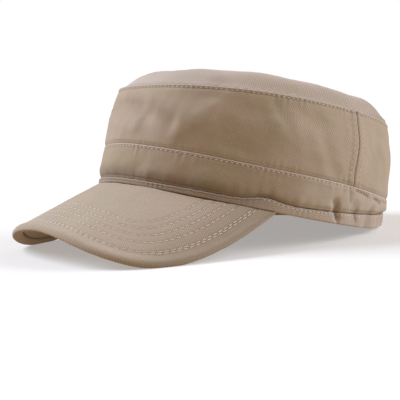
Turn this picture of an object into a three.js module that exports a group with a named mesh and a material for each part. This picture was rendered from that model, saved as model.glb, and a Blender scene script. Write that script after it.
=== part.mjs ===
// A field cap in cotton twill: a low flat crown, a wide band, a bound hem and a curved peak.
// Millimetres and degrees. The front is -Y, the wearer's left is +X and up is +Z.
import * as THREE from 'three';

// Head opening and crown, seen from above. Roundness 2 is an ellipse, more is squarer.
const hemPlan = { length: 200, width: 161.4, roundness: 1.96, back: 0 };
const bandPlan = { length: 198.4, width: 164.6, roundness: 1.96, back: 0.8 };
const topPlan = { length: 177.4, width: 154.8, roundness: 2.25, back: -1.6 };

// Heights of the three seams above the middle of the hem, from the front round to the back.
const seamHeights = [
  { angle: 0, hem: 3.6, band: 27.4, top: 63.7 },
  { angle: 30, hem: 1.8, band: 25.6, top: 64.1 },
  { angle: 60, hem: -1.4, band: 22.5, top: 65.0 },
  { angle: 90, hem: -3.5, band: 20.4, top: 65.4 },
  { angle: 120, hem: -2.6, band: 18.1, top: 65.0 },
  { angle: 150, hem: 1.7, band: 18.0, top: 64.1 },
  { angle: 180, hem: 4.5, band: 22.0, top: 63.7 },
];
const seamStep = 30;

// The crown's top stands up steeply from its seam and is flat in the middle.
const domeHeight = 13.9;
const domeFlatness = 12;
const domeSoftness = 2.1;

// The peak is cut flat and bent over a round arch, then sewn on sloping down.
const peakArch = 92.8;
const peakSlope = 32.8;
const peakRise = 2.1;
const peakReach = 58;
const peakHalfWidth = 87.6;
const peakSquareness = 2.92;
const peakWidestAt = -25.4;
const peakEndAngle = 67.9;
const peakTrim = 0.985; // the last of each side, which tapers to nothing under the hem

// How the cap rests: on the back of its hem and the two low sides of its peak.
const restPitch = 12.4;
const pressedFlat = 0.5;

// Space between two layers of cloth, and the cloth's own thickness.
const gap = 0.3;
const cloth = 1.1;
const tuck = cloth + gap;
const bindingDepth = 3 * cloth + 2 * gap;
const seamHalfLap = 2.8;
const seamFade = 4.5;

// Places of the panel seams at the back of each side, and of the elastic in the back of the band.
const sideSeam = 99.4;
const seamGapAngle = 0.2;
const mmPerDegree = 1.58;

// Folds in the walls. Each runs from one angle and height to another; a negative depth stands out.
const wallFolds = [
  { angle: -20, height: 60, toAngle: 11, toHeight: 49, width: 7, depth: 2.1 },
  { angle: -14, height: 43, toAngle: 6, toHeight: 38, width: 7, depth: -1.3 },
  { angle: 41, height: 62, toAngle: 29, toHeight: 42, width: 6, depth: -1.3 },
  { angle: 28, height: 41, toAngle: 27, toHeight: 33, width: 5, depth: -0.9 },
  { angle: 56, height: 55, toAngle: 48, toHeight: 38, width: 9, depth: 1.5 },
  { angle: 78, height: 59, toAngle: 86, toHeight: 44, width: 9, depth: 0.9 },
  { angle: 118, height: 56, toAngle: 108, toHeight: 36, width: 8, depth: 1.5 },
  { angle: 150, height: 33, toAngle: 140, toHeight: 53, width: 9, depth: 1.7 },
  { angle: -170, height: 57, toAngle: 176, toHeight: 36, width: 10, depth: 1.8 },
  { angle: -139, height: 54, toAngle: -146, toHeight: 31, width: 8, depth: 1.6 },
  { angle: -112, height: 37, toAngle: -106, toHeight: 56, width: 8, depth: 1.5 },
  { angle: -72, height: 60, toAngle: -64, toHeight: 40, width: 8, depth: 1.7 },
  { angle: -45, height: 42, toAngle: -38, toHeight: 60, width: 7, depth: -1.2 },
  { angle: 89, height: 17, toAngle: 90, toHeight: 12, width: 6, depth: 1.2 },
  { angle: 90, height: 9, toAngle: 93, toHeight: 0, width: 3, depth: 3.0 },
  { angle: 101, height: 13, toAngle: 102, toHeight: 6, width: 5, depth: 1.6 },
  { angle: 104, height: 6, toAngle: 104, toHeight: 2, width: 2.6, depth: -0.9 },
  { angle: 100, height: 17, toAngle: 107, toHeight: 15, width: 2.6, depth: 1.0 },
  { angle: 114, height: 15, toAngle: 120, toHeight: 13, width: 2.6, depth: 1.0 },
  { angle: 128, height: 13, toAngle: 130, toHeight: 2, width: 8, depth: 1.2 },
  { angle: -128, height: 13, toAngle: -131, toHeight: 2, width: 8, depth: 1.2 },
  { angle: -88, height: 16, toAngle: -90, toHeight: 10, width: 6, depth: 1.2 },
  { angle: -91, height: 9, toAngle: -94, toHeight: 0, width: 3.6, depth: 2.2 },
  { angle: -104, height: 12, toAngle: -101, toHeight: 5, width: 5, depth: 1.6 },
  { angle: 12, height: 12, toAngle: 16, toHeight: 19, width: 5, depth: 0.8 },
  { angle: 34, height: 11, toAngle: 31, toHeight: 19, width: 6, depth: 0.9 },
  { angle: 62, height: 9, toAngle: 66, toHeight: 16, width: 7, depth: 0.8 },
  { angle: -36, height: 11, toAngle: -30, toHeight: 18, width: 6, depth: 0.9 },
  { angle: -64, height: 8, toAngle: -69, toHeight: 16, width: 7, depth: 0.8 },
];

// The elastic in the back of the band gathers it into upright folds of uneven depth.
const gathers = {
  from: 112,
  to: 250,
  step: 11.5,
  bottom: 1,
  top: 12,
  topSway: 2,
  width: 4.2,
  depth: 1.5,
  unevenness: 0.4,
  turnRate: 3.1,
};

// Shallow hollows in the top of the crown, by place; a negative depth is a swelling.
const topHollows = [
  { x: 6, y: -46, width: 22, depth: 1.6 },
  { x: 36, y: 22, width: 16, depth: 1.2 },
  { x: -34, y: -8, width: 20, depth: 1.5 },
  { x: -12, y: 44, width: 18, depth: 1.3 },
  { x: 56, y: 50, width: 20, depth: -2.4 },
  { x: -56, y: 50, width: 20, depth: -1.8 },
];

// Sections of the wall pieces. share runs from the lower seam, or from the top of the binding that
// covers it, to the upper seam. rise adds mm, out is how far the outside stands off the wall's
// plan, and wall is the cloth where it turns back.
const sideRows = [
  { share: 0, rise: -4, out: -tuck - gap, wall: cloth },
  { share: 0, rise: 0.4, out: -tuck },
  { share: 0, rise: 2.6, out: 0.4, wall: cloth },
  { share: 0.18, rise: 0, out: 1.3 },
  { share: 0.36, rise: 0, out: 2.2, wall: cloth },
  { share: 0.54, rise: 0, out: 2.6 },
  { share: 0.72, rise: 0, out: 1.9, wall: cloth },
  { share: 0.88, rise: 0, out: 0.9 },
  { share: 1, rise: -1.8, out: 0.35, wall: cloth + 0.25 },
  { share: 1, rise: 0, out: 0, wall: cloth - 0.1 },
];
const bandRows = [
  { share: 0, rise: cloth + gap, out: -tuck, wall: cloth, insideHem: true },
  { share: 0, rise: 0, out: -tuck },
  { share: 0, rise: 1.8, out: 0.3, wall: 2 * cloth },
  { share: 0.3, rise: 0, out: 1.2 },
  { share: 0.5, rise: 0, out: 1.1, wall: cloth },
  { share: 0.7, rise: 0, out: 0.7 },
  { share: 1, rise: -1.6, out: 0.45, wall: cloth + 0.25 },
  { share: 1, rise: 0, out: 0, wall: cloth - 0.1 },
];

// Height of the hem binding, low over the peak and deep over the elastic.
const hemHeights = [
  { angle: 0, height: 3.2 },
  { angle: 60, height: 4.2 },
  { angle: 120, height: 8.5 },
  { angle: 180, height: 8.5 },
];
const hemHeightStep = 60;

// Section of the binding: share is of its height, rise adds mm, out is off the wall's plan.
const hemRows = [
  { share: 0, rise: 0, out: -0.2 },
  { share: 0, rise: 0.6, out: 0 },
  { share: 0.5, rise: 0, out: 0.1 },
  { share: 1, rise: -0.3, out: -0.1 },
  { share: 1, rise: 0, out: -cloth / 2 },
  { share: 1, rise: -0.4, out: -cloth },
  { share: 0, rise: cloth, out: -cloth },
  { share: 0, rise: cloth, out: cloth - bindingDepth },
  { share: 1, rise: -0.5, out: cloth - bindingDepth },
  { share: 1, rise: -0.5, out: -bindingDepth },
  { share: 0, rise: 0, out: -bindingDepth },
];

// Sections of the peak, from under the hem out to the rim and back. share runs from the hem to the
// rim, back keeps a point some mm inside the rim, inset is under the hem, off is off the arch.
const peakUpperRows = [
  { share: 0, back: 0, inset: bindingDepth, off: 1.5 },
  { share: 0, back: 0, inset: 0, off: 1.5 },
  { share: 0.2, back: 0, inset: 0, off: 1.5 },
  { share: 0.42, back: 0, inset: 0, off: 1.5 },
  { share: 0.64, back: 0, inset: 0, off: 1.5 },
  { share: 0.82, back: 0, inset: 0, off: 1.4 },
  { share: 1, back: 6.2, inset: 0, off: 1.1 },
  { share: 1, back: 3, inset: 0, off: 1.9 },
  { share: 1, back: 0.8, inset: 0, off: 1.2 },
  { share: 1, back: 0, inset: 0, off: -0.3 },
  { share: 1, back: 0.8, inset: 0, off: -1.8 },
  { share: 1, back: 3, inset: 0, off: -2.4 },
  { share: 1, back: 6.4, inset: 0, off: -2.0 },
  { share: 1, back: 6.6, inset: 0, off: 0.1 },
  { share: 0.64, back: 0, inset: 0, off: 0.2 },
  { share: 0.3, back: 0, inset: 0, off: 0.2 },
  { share: 0, back: 0, inset: 0, off: 0.2 },
  { share: 0, back: 0, inset: bindingDepth, off: 0.2 },
];
const underInset = 0.5;
const peakUnderRows = [
  { share: 0, back: 0, inset: bindingDepth, off: -0.1 },
  { share: 0, back: 0, inset: underInset, off: -0.1 },
  { share: 0.3, back: 0, inset: underInset, off: -0.1 },
  { share: 0.64, back: 0, inset: underInset, off: -0.1 },
  { share: 1, back: 7.2, inset: underInset, off: -0.2 },
  { share: 1, back: 7.2, inset: underInset, off: -1.6 },
  { share: 0.64, back: 0, inset: underInset, off: -1.5 },
  { share: 0.3, back: 0, inset: underInset, off: -1.5 },
  { share: 0, back: 0, inset: underInset, off: -1.5 },
  { share: 0, back: 0, inset: bindingDepth, off: -1.5 },
];
const rimRoom = 18;
const rimFrontShare = 0.72;
const rimSteps = 400;
const peakColumns = 38;

// Rows of the crown's top from the middle out to its seam, and the flange tucked under the seam.
const domeShares = [0.24, 0.48, 0.68, 0.8, 0.88, 0.935, 0.97];
const domeInsideShares = [0.44, 0.78, 0.925];
const topFlangeRise = 0.5;
const topFlangeDrop = 5;
const topColumns = 60;

// Where the walls get their columns: wide steps in front, finer ones over the gathers.
const crownColumns = [{ from: -180, to: 180, step: 3.75 }];
const bandColumns = [
  { from: -84, to: 84, step: 5.25 },
  { from: 84, to: 276, step: 3 },
];

// Near a panel seam the turned edge makes a raised strip, and the edge itself rolls in. Degrees
// away from the seam, and mm of lift.
const seamStrip = [
  { away: 0, lift: -0.5 },
  { away: 0.5, lift: 0.35 },
  { away: 3.1, lift: 0.4 },
  { away: 4.1, lift: 0 },
];
const stripRoom = 1;

const up = new THREE.Vector3(0, 0, 1);

// Steps used to measure a direction: degrees round the plan, and a share of the way across the top.
const slopeStep = 0.5;
const domeStep = 0.01;

function radians(degrees) {
  return THREE.MathUtils.degToRad(degrees);
}

// Brings an angle into -180 to 180.
function wrapped(angle) {
  return THREE.MathUtils.euclideanModulo(angle + 180, 360) - 180;
}

// A smooth value by angle from a table that runs from front to back, the same on both sides.
function byAngle(table, column, step, angle) {
  const last = table.length - 1;
  const place = Math.abs(wrapped(angle)) / step;
  const index = Math.min(Math.floor(place), last - 1);
  const t = place - index;
  const value = (i) => table[i < 0 ? -i : i > last ? 2 * last - i : i][column];
  const [a, b, c, d] = [value(index - 1), value(index), value(index + 1), value(index + 2)];
  return b + 0.5 * t * (c - a + t * (2 * a - 5 * b + 4 * c - d + t * (3 * (b - c) + d - a)));
}

function planPoint(plan, angle) {
  const c = Math.cos(radians(angle));
  const s = Math.sin(radians(angle));
  const n = plan.roundness;
  const r = (Math.abs(c) ** n + Math.abs(s) ** n) ** (-1 / n);
  return new THREE.Vector3((r * s * plan.width) / 2, (-r * c * plan.length) / 2 + plan.back, 0);
}

// The level direction that points straight out of the wall.
function planNormal(angle) {
  const ahead = planPoint(hemPlan, angle + slopeStep);
  const along = ahead.sub(planPoint(hemPlan, angle - slopeStep)).normalize();
  return new THREE.Vector3(along.y, -along.x, 0);
}

function seamPoint(plan, seam, angle) {
  const point = planPoint(plan, angle);
  point.z = byAngle(seamHeights, seam, seamStep, angle);
  return point;
}

// The doubled cloth at a seam lies smooth: 0 there, rising to 1 where the folds are free.
function slack(angle, height) {
  const free = ['band', 'top'].map((seam) => {
    const away = Math.abs(height + seamHalfLap - byAngle(seamHeights, seam, seamStep, angle));
    return THREE.MathUtils.smoothstep(away, seamHalfLap, seamHalfLap + seamFade);
  });
  return Math.min(...free);
}

// How far the cloth is pushed in by the folds at one place of the wall.
function foldDepth(angle, height) {
  let depth = 0;
  for (const fold of allFolds) {
    const x = wrapped(angle - fold.angle) * mmPerDegree;
    const y = height - fold.height;
    const dx = wrapped(fold.toAngle - fold.angle) * mmPerDegree;
    const dy = fold.toHeight - fold.height;
    const share = THREE.MathUtils.clamp((x * dx + y * dy) / (dx * dx + dy * dy), 0, 1);
    const away = Math.hypot(x - share * dx, y - share * dy);
    depth += fold.depth * Math.exp(-((away / fold.width) ** 2));
  }
  return depth * slack(angle, height);
}

// The gathers as folds up from the hem: deep and shallow ones by turns, each leaning a little.
function gatherFolds() {
  const folds = [];
  for (let angle = gathers.from; angle <= gathers.to; angle += gathers.step) {
    const turn = Math.sin(angle * gathers.turnRate);
    const hemAt = byAngle(seamHeights, 'hem', seamStep, angle);
    folds.push({
      angle: angle + turn,
      height: hemAt + gathers.top + gathers.topSway * turn,
      toAngle: angle - turn,
      toHeight: hemAt + gathers.bottom,
      width: gathers.width,
      depth: gathers.depth * (1 + gathers.unevenness * turn),
    });
  }
  return folds;
}

const allFolds = [...wallFolds, ...gatherFolds()];

// A point of a wall piece: on the line between two seams, moved out by its layer and the folds.
function wallPoint(low, high, angle, share, rise, out) {
  const point = seamPoint(low.plan, low.seam, angle).lerp(seamPoint(high.plan, high.seam, angle), share);
  point.z += rise;
  return point.addScaledVector(planNormal(angle), out - foldDepth(angle, point.z));
}

const hemSeam = { plan: hemPlan, seam: 'hem', cover: hemHeight };
const bandSeam = { plan: bandPlan, seam: 'band', cover: () => 0 };
const topSeam = { plan: topPlan, seam: 'top' };

function hemHeight(angle) {
  return byAngle(hemHeights, 'height', hemHeightStep, angle);
}

// One upright section of a wall piece: up the outside and down the inside. Only cloth that shows
// is lifted by a seam strip.
function wallSection(low, high, rows, angle, lift) {
  const place = (row, depth) => {
    const cover = row.insideHem ? 0 : (1 - row.share) * low.cover(angle);
    const shown = row.out < 0 ? 0 : lift;
    return wallPoint(low, high, angle, row.share, row.rise + cover, row.out + shown - depth);
  };
  const inside = [...rows].reverse().filter((row) => row.wall);
  return [...rows.map((row) => place(row, 0)), ...inside.map((row) => place(row, row.wall))];
}

// The binding wraps the band's lower edge: an outer leg, a foot and a short inner leg.
function hemSection(angle) {
  const height = hemHeight(angle);
  return hemRows.map((row) => {
    return wallPoint(hemSeam, bandSeam, angle, 0, row.rise + row.share * height, row.out);
  });
}

// Height of the crown's top over its seam, for a share of the way out from the middle.
function domeRise(share) {
  return domeHeight * Math.max(0, 1 - share ** domeFlatness) ** domeSoftness;
}

function domePoint(angle, share, depth) {
  const seam = seamPoint(topPlan, 'top', angle);
  const middle = seamPoint(topPlan, 'top', 90).z;
  const point = seam.clone();
  point.y -= topPlan.back;
  const radius = Math.hypot(point.x, point.y);
  const slope = (domeRise(share + domeStep) - domeRise(share - domeStep)) / (2 * domeStep * radius);
  const outward = new THREE.Vector3(point.x, point.y, 0).normalize();
  const normal = outward.multiplyScalar(-slope).add(up).normalize();
  point.multiplyScalar(share);
  point.y += topPlan.back;
  point.z = middle + (seam.z - middle) * share * share + domeRise(share);
  for (const hollow of topHollows) {
    const away = Math.hypot(point.x - hollow.x, point.y - hollow.y) / hollow.width;
    point.z -= hollow.depth * Math.exp(-away * away);
  }
  return point.addScaledVector(normal, -depth);
}

// One radial section of the crown's top, from its outer middle round the flange to the inner middle.
function topSection(angle) {
  const flange = (rise, out) => wallPoint(bandSeam, topSeam, angle, 1, rise, out);
  return [
    ...domeShares.map((share) => domePoint(angle, share, 0)),
    flange(topFlangeRise, -tuck),
    flange(-topFlangeDrop, -tuck),
    flange(-topFlangeDrop, -tuck - cloth),
    flange(0, -tuck - cloth),
    ...[...domeInsideShares].reverse().map((share) => domePoint(angle, share, cloth)),
  ];
}

// A point of the peak's flat pattern, bent over the arch and sloped down from the crown's front.
function bentPoint(pattern, off) {
  const slope = radians(peakSlope);
  const turn = pattern.x / peakArch;
  const drop = peakArch - (peakArch + off) * Math.cos(turn);
  return new THREE.Vector3(
    (peakArch + off) * Math.sin(turn),
    -hemPlan.length / 2 - pattern.y * Math.cos(slope) + drop * Math.sin(slope),
    peakRise - pattern.y * Math.sin(slope) - drop * Math.cos(slope),
  );
}

// Where the hem lies on the peak's flat pattern.
function hemOnPattern(angle) {
  const point = planPoint(hemPlan, angle);
  const slope = radians(peakSlope);
  const turn = Math.asin(point.x / peakArch);
  const drop = peakArch * (1 - Math.cos(turn));
  const forward = (drop * Math.sin(slope) - hemPlan.length / 2 - point.y) / Math.cos(slope);
  return new THREE.Vector2(peakArch * turn, forward);
}

// The peak's rim on its flat pattern: squared round the front, then drawn in back to the hem.
function rimOnPattern(turn) {
  const side = Math.sign(turn);
  const around = Math.abs(turn);
  if (around <= rimFrontShare) {
    const a = radians((90 * around) / rimFrontShare);
    const power = 2 / peakSquareness;
    return new THREE.Vector2(
      side * peakHalfWidth * Math.sin(a) ** power,
      peakWidestAt + (peakReach - peakWidestAt) * Math.cos(a) ** power,
    );
  }
  const end = hemOnPattern(peakEndAngle);
  const back = (around - rimFrontShare) / (1 - rimFrontShare);
  return new THREE.Vector2(
    side * THREE.MathUtils.lerp(peakHalfWidth, end.x, back * back),
    THREE.MathUtils.lerp(peakWidestAt, end.y, back),
  );
}

// Evenly spaced places round the rim, as its turn from -1 to 1.
function rimTurns(count) {
  const turnAt = (i) => (2 * i) / rimSteps - 1;
  const lengths = [0];
  for (let i = 1; i <= rimSteps; i += 1) {
    lengths.push(lengths[i - 1] + rimOnPattern(turnAt(i)).distanceTo(rimOnPattern(turnAt(i - 1))));
  }
  const turns = [];
  for (let i = 0; i < count; i += 1) {
    const wanted = (lengths[rimSteps] * i) / (count - 1);
    const found = lengths.findIndex((length) => length >= wanted);
    const j = found < 1 ? 1 : found;
    turns.push(turnAt(j - 1 + (wanted - lengths[j - 1]) / (lengths[j] - lengths[j - 1])));
  }
  return turns;
}

// One section of the peak, from under the hem to the rim, at a place along it from -1 to 1.
function peakSection(rows, along, turn) {
  const angle = along * peakEndAngle;
  const inner = hemOnPattern(angle);
  const outer = rimOnPattern(turn);
  const width = inner.distanceTo(outer);
  const room = Math.min(1, width / rimRoom);
  const seat = seamPoint(hemPlan, 'hem', angle).z - gap;
  const lift = seat - bentPoint(inner, peakUpperRows[0].off).z;
  return rows.map((row) => {
    const share = width > 0 ? Math.max(0, row.share - (row.back * room) / width) : 0;
    const point = bentPoint(inner.clone().lerp(outer, share), row.off);
    point.z += lift * (1 - share) ** 2;
    return point.addScaledVector(planNormal(angle), -row.inset);
  });
}

// Tips a point back into the cap's resting pitch and presses it flat where it meets the surface.
function setDown(point) {
  const settled = point.clone().applyAxisAngle(new THREE.Vector3(1, 0, 0), -radians(restPitch));
  settled.z = Math.max(0, settled.z + restHeight);
  return settled;
}

// The lowest point of the peak's rim and the hem's back decide how high the cap is carried.
function lowestPoint() {
  const tip = new THREE.Vector3(1, 0, 0);
  let lowest = 0;
  for (const turn of rimTurns(peakColumns)) {
    for (const point of peakSection(peakUpperRows, turn, turn)) {
      lowest = Math.min(lowest, point.applyAxisAngle(tip, -radians(restPitch)).z);
    }
  }
  return lowest;
}

const restHeight = -lowestPoint() - pressedFlat;

// A closed mesh from corners and faces, turned the right way out.
function closedMesh(name, points, faces, material) {
  const corners = points.map(setDown);
  let volume = 0;
  for (const [a, b, c] of faces) {
    volume += corners[a].dot(new THREE.Vector3().crossVectors(corners[b], corners[c]));
  }
  const outward = volume > 0 ? faces : faces.map(([a, b, c]) => [a, c, b]);
  const geometry = new THREE.BufferGeometry().setFromPoints(corners);
  geometry.setIndex(outward.flat());
  geometry.computeVertexNormals();
  const mesh = new THREE.Mesh(geometry, material);
  mesh.name = name;
  return mesh;
}

// Triangles across an end section: its outer and inner sides are zipped together from the start.
function endFaces(points, start, size) {
  const faces = [];
  let left = start;
  let right = start + size - 1;
  while (right - left > 1) {
    const overLeft = points[left + 1].distanceTo(points[right]);
    const overRight = points[left].distanceTo(points[right - 1]);
    if (overLeft < overRight) {
      faces.push([left, left + 1, right]);
      left += 1;
    } else {
      faces.push([left, right - 1, right]);
      right -= 1;
    }
  }
  return faces;
}

// Two triangles on four corners, split along the shorter diagonal, so that layers laid on each
// other are split alike.
function quad(points, a, b, c, d) {
  if (points[a].distanceTo(points[c]) <= points[b].distanceTo(points[d])) return [[a, b, c], [a, c, d]];
  return [[a, b, d], [b, c, d]];
}

// Joins closed sections side by side. An endless row meets its own start; any other gets two ends.
function loft(name, sections, endless, material) {
  const size = sections[0].length;
  const count = sections.length;
  const points = sections.flat();
  const faces = [];
  for (let i = 0; i < (endless ? count : count - 1); i += 1) {
    const here = i * size;
    const next = ((i + 1) % count) * size;
    for (let j = 0; j < size; j += 1) {
      const k = (j + 1) % size;
      faces.push(...quad(points, here + j, next + j, next + k, here + k));
    }
  }
  if (!endless) {
    faces.push(...endFaces(points, 0, size));
    faces.push(...endFaces(points, (count - 1) * size, size).map(([a, b, c]) => [a, c, b]));
  }
  return closedMesh(name, points, faces, material);
}

// Columns of a wall piece from its table of steps.
function columnAngles(table) {
  const angles = [];
  for (const { from, to, step } of table) {
    const count = Math.round((to - from) / step);
    for (let i = 0; i < count; i += 1) angles.push(from + ((to - from) * i) / count);
  }
  return angles;
}

// A crown panel between two upright seams, with a raised strip along each of them.
function crownPanel(name, from, to, material) {
  const start = from + seamGapAngle / 2;
  const end = to - seamGapAngle / 2;
  const reach = seamStrip[seamStrip.length - 1].away + stripRoom;
  const inner = columnAngles(crownColumns).map((angle) => (angle < from ? angle + 360 : angle));
  const middle = inner.filter((angle) => angle > start + reach && angle < end - reach);
  const columns = [
    ...seamStrip.map(({ away, lift }) => ({ angle: start + away, lift })),
    ...middle.sort((a, b) => a - b).map((angle) => ({ angle, lift: 0 })),
    ...[...seamStrip].reverse().map(({ away, lift }) => ({ angle: end - away, lift })),
  ];
  const section = ({ angle, lift }) => wallSection(bandSeam, topSeam, sideRows, angle, lift);
  return loft(name, columns.map(section), false, material);
}

// The crown's top: radial sections joined round, closed by a point above and a point below.
function crownTop(name, material) {
  const points = [];
  const faces = [];
  const sections = [];
  for (let i = 0; i < topColumns; i += 1) sections.push(topSection((360 * i) / topColumns));
  const size = sections[0].length;
  points.push(...sections.flat());
  const above = points.push(domePoint(0, 0, 0)) - 1;
  const below = points.push(domePoint(0, 0, cloth)) - 1;
  for (let i = 0; i < topColumns; i += 1) {
    const here = i * size;
    const next = ((i + 1) % topColumns) * size;
    for (let j = 0; j < size - 1; j += 1) {
      faces.push([here + j, next + j, next + j + 1]);
      faces.push([here + j, next + j + 1, here + j + 1]);
    }
    faces.push([above, next, here]);
    faces.push([below, here + size - 1, next + size - 1]);
  }
  return closedMesh(name, points, faces, material);
}

function band(name, material) {
  const section = (angle) => wallSection(hemSeam, bandSeam, bandRows, angle, 0);
  return loft(name, columnAngles(bandColumns).map(section), true, material);
}

function hem(name, material) {
  return loft(name, columnAngles(bandColumns).map(hemSection), true, material);
}

function peakLayer(name, rows, material) {
  const turns = rimTurns(peakColumns);
  const sections = turns.map((turn, i) => {
    const along = (2 * i) / (peakColumns - 1) - 1;
    return peakSection(rows, peakTrim * along, peakTrim * turn);
  });
  return loft(name, sections, false, material);
}

function twill(colour) {
  return new THREE.MeshStandardMaterial({ color: colour, roughness: 0.92, metalness: 0 });
}

const crownTwill = twill('#a8967f');
const bandTwill = twill('#a3917b');
const bindingTwill = twill('#b09d87');
const peakTwill = twill('#ac9a84');
const peakUnderTwill = twill('#b5a48c');

const cap = new THREE.Group();
cap.add(crownTop('crown_top', crownTwill));
cap.add(crownPanel('side_panel', -sideSeam, sideSeam, crownTwill));
cap.add(crownPanel('back_panel', sideSeam, 360 - sideSeam, crownTwill));
cap.add(band('band', bandTwill));
cap.add(hem('hem', bindingTwill));
cap.add(peakLayer('peak_upper', peakUpperRows, peakTwill));
cap.add(peakLayer('peak_under', peakUnderRows, peakUnderTwill));

// The origin is on the surface that the cap rests on, in the middle of its plan.
const middle = new THREE.Box3().setFromObject(cap).getCenter(new THREE.Vector3());
for (const piece of cap.children) piece.geometry.translate(-middle.x, -middle.y, 0);

export default cap;
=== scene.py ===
import math

import bmesh
import bpy
import numpy as np
from mathutils import Matrix, Vector


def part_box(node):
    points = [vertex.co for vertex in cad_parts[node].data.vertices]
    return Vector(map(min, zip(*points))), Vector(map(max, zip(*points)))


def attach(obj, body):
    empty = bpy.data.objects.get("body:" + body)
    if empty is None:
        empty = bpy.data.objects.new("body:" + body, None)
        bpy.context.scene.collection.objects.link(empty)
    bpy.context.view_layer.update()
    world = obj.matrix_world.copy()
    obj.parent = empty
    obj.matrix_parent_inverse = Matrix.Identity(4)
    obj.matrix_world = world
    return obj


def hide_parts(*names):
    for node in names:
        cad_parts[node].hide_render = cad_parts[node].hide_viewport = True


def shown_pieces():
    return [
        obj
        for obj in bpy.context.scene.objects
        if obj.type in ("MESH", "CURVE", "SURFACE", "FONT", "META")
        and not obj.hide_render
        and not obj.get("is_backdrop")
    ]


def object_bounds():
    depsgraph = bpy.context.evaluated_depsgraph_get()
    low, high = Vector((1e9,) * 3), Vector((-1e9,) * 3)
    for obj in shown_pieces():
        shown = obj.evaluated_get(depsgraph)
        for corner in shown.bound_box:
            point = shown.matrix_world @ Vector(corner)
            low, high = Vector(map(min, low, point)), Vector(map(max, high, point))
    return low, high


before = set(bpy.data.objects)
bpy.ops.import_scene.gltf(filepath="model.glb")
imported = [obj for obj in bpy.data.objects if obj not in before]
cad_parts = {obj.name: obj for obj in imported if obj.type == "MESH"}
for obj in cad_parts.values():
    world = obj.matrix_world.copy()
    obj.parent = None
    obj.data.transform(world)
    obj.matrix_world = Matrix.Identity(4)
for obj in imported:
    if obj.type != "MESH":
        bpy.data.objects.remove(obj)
cad_low, cad_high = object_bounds()
print("plain model, mm:", [round(side * 1000, 1) for side in cad_high - cad_low])

# %% [markdown]
# The camera looks from where the photograph was taken: a little above the peak, in front of the
# wearer's left side, with a long lens and a small roll. A long lens keeps the crown's ovals flat.
# It looks at a point inside the crown, so no shift is needed.
# %% Camera
MM = 0.001
camera_azimuth = math.radians(53.124)
camera_elevation = math.radians(5.871)
camera_roll = math.radians(-2.378)
camera_distance = 617.7 * MM
camera_target = Vector((-18.29, 2.97, 21.92)) * MM

camera_back = Vector((
    math.sin(camera_azimuth) * math.cos(camera_elevation),
    -math.cos(camera_azimuth) * math.cos(camera_elevation),
    math.sin(camera_elevation),
))
camera = bpy.data.objects.new("camera", bpy.data.cameras.new("camera"))
camera.data.sensor_width = 36
camera.data.lens = 85.13
camera.data.clip_start = 0.01
camera.data.clip_end = 100
camera.rotation_mode = "QUATERNION"
camera.location = camera_target + camera_back * camera_distance
level = (-camera_back).to_track_quat("-Z", "Y")
camera.rotation_quaternion = level @ Matrix.Rotation(camera_roll, 4, "Z").to_quaternion()
bpy.context.scene.collection.objects.link(camera)
bpy.context.scene.camera = camera
print("camera height, mm:", round(camera.location.z * 1000, 1))

# %% [markdown]
# Colours are picked as sRGB hex values, as a picture editor shows them, but the shaders work in
# linear light, so one function turns them. Another adds a node with its settings and its links,
# which keeps each material short enough to read as a recipe.
# %% Colour and node helpers
def linear(hex_colour):
    """An sRGB hex colour as linear red, green, blue and alpha."""
    channels = [int(hex_colour[i:i + 2], 16) / 255 for i in (1, 3, 5)]
    return [c / 12.92 if c <= 0.04045 else ((c + 0.055) / 1.055) ** 2.4 for c in channels] + [1.0]


def add(tree, kind, inputs=None, **settings):
    """Adds a node. inputs gives each socket, by name or number, a value or the socket it reads."""
    node = tree.nodes.new(kind)
    for key, value in settings.items():
        setattr(node, key, value)
    for socket, value in (inputs or {}).items():
        if isinstance(value, bpy.types.NodeSocket):
            tree.links.new(value, node.inputs[socket])
        else:
            node.inputs[socket].default_value = value
    return node


print("a middle grey in linear light:", round(linear("#808080")[0], 3))

# %% [markdown]
# The cap is shown on plain white with soft light. The photograph's light comes from both sides
# and a little from behind, the left side stronger, so the crown is pale at its two edges and dark
# where it faces the camera. Two wide suns do that, and light a large floor evenly up to its
# horizon. The floor looks white to the camera but throws back less light, so the cap keeps its
# shading. It also glows a little by itself, like a light table: this keeps the shadow pale and
# lights the underside of the peak. The glow and the sky are a little warm to the cap, and white
# to the camera.
# %% Studio
scene = bpy.context.scene
scene.view_settings.view_transform = "Standard"
scene.view_settings.look = "None"

floor_mesh = bpy.data.meshes.new("floor")
floor_shape = bmesh.new()
bmesh.ops.create_grid(floor_shape, x_segments=1, y_segments=1, size=60)
floor_shape.to_mesh(floor_mesh)
floor_shape.free()
floor = bpy.data.objects.new("floor", floor_mesh)
scene.collection.objects.link(floor)
floor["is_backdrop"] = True

paper = bpy.data.materials.new("white paper sweep, matte")
paper.use_nodes = True
paper_tree = paper.node_tree
paper_tree.nodes.clear()
seen = add(paper_tree, "ShaderNodeLightPath")
dim_paper = add(paper_tree, "ShaderNodeBsdfDiffuse", {"Color": linear("#84786a")})
white_paper = add(paper_tree, "ShaderNodeBsdfDiffuse", {"Color": linear("#c8c4bc")})
papers = add(paper_tree, "ShaderNodeMixShader", {
    0: seen.outputs["Is Camera Ray"], 1: dim_paper.outputs[0], 2: white_paper.outputs[0]})
glow_colour = add(paper_tree, "ShaderNodeMix", {
    0: seen.outputs["Is Camera Ray"], 6: linear("#ffe2c4"), 7: linear("#ffffff")}, data_type="RGBA")
glow = add(paper_tree, "ShaderNodeEmission", {"Color": glow_colour.outputs[2], "Strength": 0.34})
lit_papers = add(paper_tree, "ShaderNodeAddShader", {0: papers.outputs[0], 1: glow.outputs[0]})
add(paper_tree, "ShaderNodeOutputMaterial", {0: lit_papers.outputs[0]})
floor_mesh.materials.append(paper)

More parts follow.
